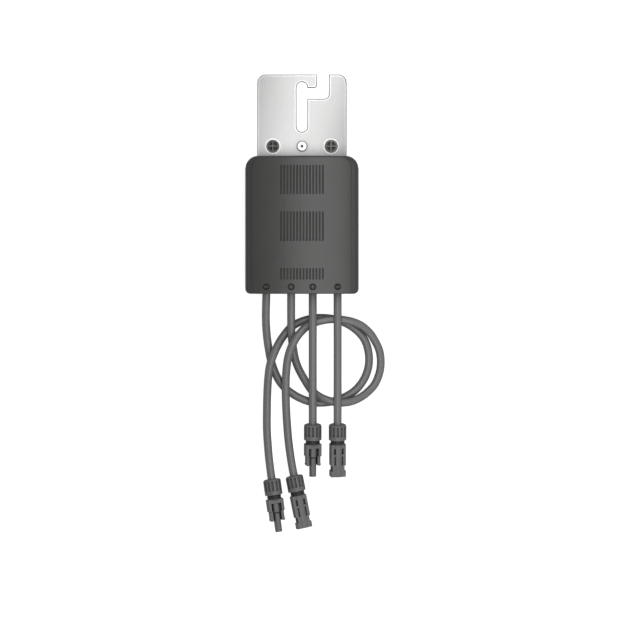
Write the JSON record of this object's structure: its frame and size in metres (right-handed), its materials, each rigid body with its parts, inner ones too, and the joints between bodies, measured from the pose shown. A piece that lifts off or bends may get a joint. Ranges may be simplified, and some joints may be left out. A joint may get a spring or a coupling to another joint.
{
  "type": "power optimizer",
  "caption": "Solar panel power optimizer: grey moulded housing with grooved front, hooked-slot metal frame bracket and leads that end in cable connectors.",
  "frame": {"origin": "on the back face that it lies on, at the middle of the housing and bracket together", "axes": "+X across the front to the right, +Y from the leads towards the bracket, +Z out of the grooved front"},
  "size_m": [0.1392, 0.4569, 0.032],
  "materials": {
    "housing_plastic": "moulded, fine satin",
    "plate_steel": "bright rolled sheet",
    "rivet_aluminium": "bright",
    "mandrel_steel": "dull zinc plated",
    "seal_rubber": "moulded",
    "board_laminate": "solder mask",
    "screw_steel": "zinc plated",
    "pad_silicone": "soft",
    "ferrite": "sintered",
    "film_capacitor": "moulded case",
    "capacitor_can": "sleeved can",
    "chip_resin": "moulded resin",
    "terminal_copper": "bare strip",
    "cable_jacket": "extruded jacket",
    "connector_plastic": "moulded, satin",
    "collet_plastic": "moulded",
    "contact_tin": "tin plated"
  },
  "bodies": {
    "root": {"front_cover": "housing_plastic", "rear_cover": "housing_plastic", "cover_seal": "seal_rubber", "mounting_plate": "plate_steel", "plate_rivet": "rivet_aluminium", "rivet_mandrel": "mandrel_steel", "circuit_board": "board_laminate", "board_screws": "screw_steel", "thermal_pad": "pad_silicone", "power_inductor": "ferrite", "input_capacitors": "film_capacitor", "output_capacitors": "capacitor_can", "power_transistors": "chip_resin", "bypass_diode": "chip_resin", "controller_chip": "chip_resin", "output_minus_bush": "seal_rubber", "output_minus_terminal": "terminal_copper", "output_minus_cable": "cable_jacket", "output_minus_nut": "connector_plastic", "output_minus_collet": "collet_plastic", "output_minus_gland_seal": "seal_rubber", "output_minus_connector": "connector_plastic", "output_minus_contact": "contact_tin", "output_plus_bush": "seal_rubber", "output_plus_terminal": "terminal_copper", "output_plus_cable": "cable_jacket", "output_plus_nut": "connector_plastic", "output_plus_collet": "collet_plastic", "output_plus_gland_seal": "seal_rubber", "output_plus_connector": "connector_plastic", "output_plus_contact": "contact_tin", "input_plus_bush": "seal_rubber", "input_plus_terminal": "terminal_copper", "input_plus_cable": "cable_jacket", "input_plus_nut": "connector_plastic", "input_plus_collet": "collet_plastic", "input_plus_gland_seal": "seal_rubber", "input_plus_connector": "connector_plastic", "input_plus_contact": "contact_tin", "input_minus_bush": "seal_rubber", "input_minus_terminal": "terminal_copper", "input_minus_cable": "cable_jacket", "input_minus_nut": "connector_plastic", "input_minus_collet": "collet_plastic", "input_minus_gland_seal": "seal_rubber", "input_minus_connector": "connector_plastic", "input_minus_contact": "contact_tin", "output_minus_nose_ring": "seal_rubber", "input_plus_nose_ring": "seal_rubber"}
  },
  "joints": []
}
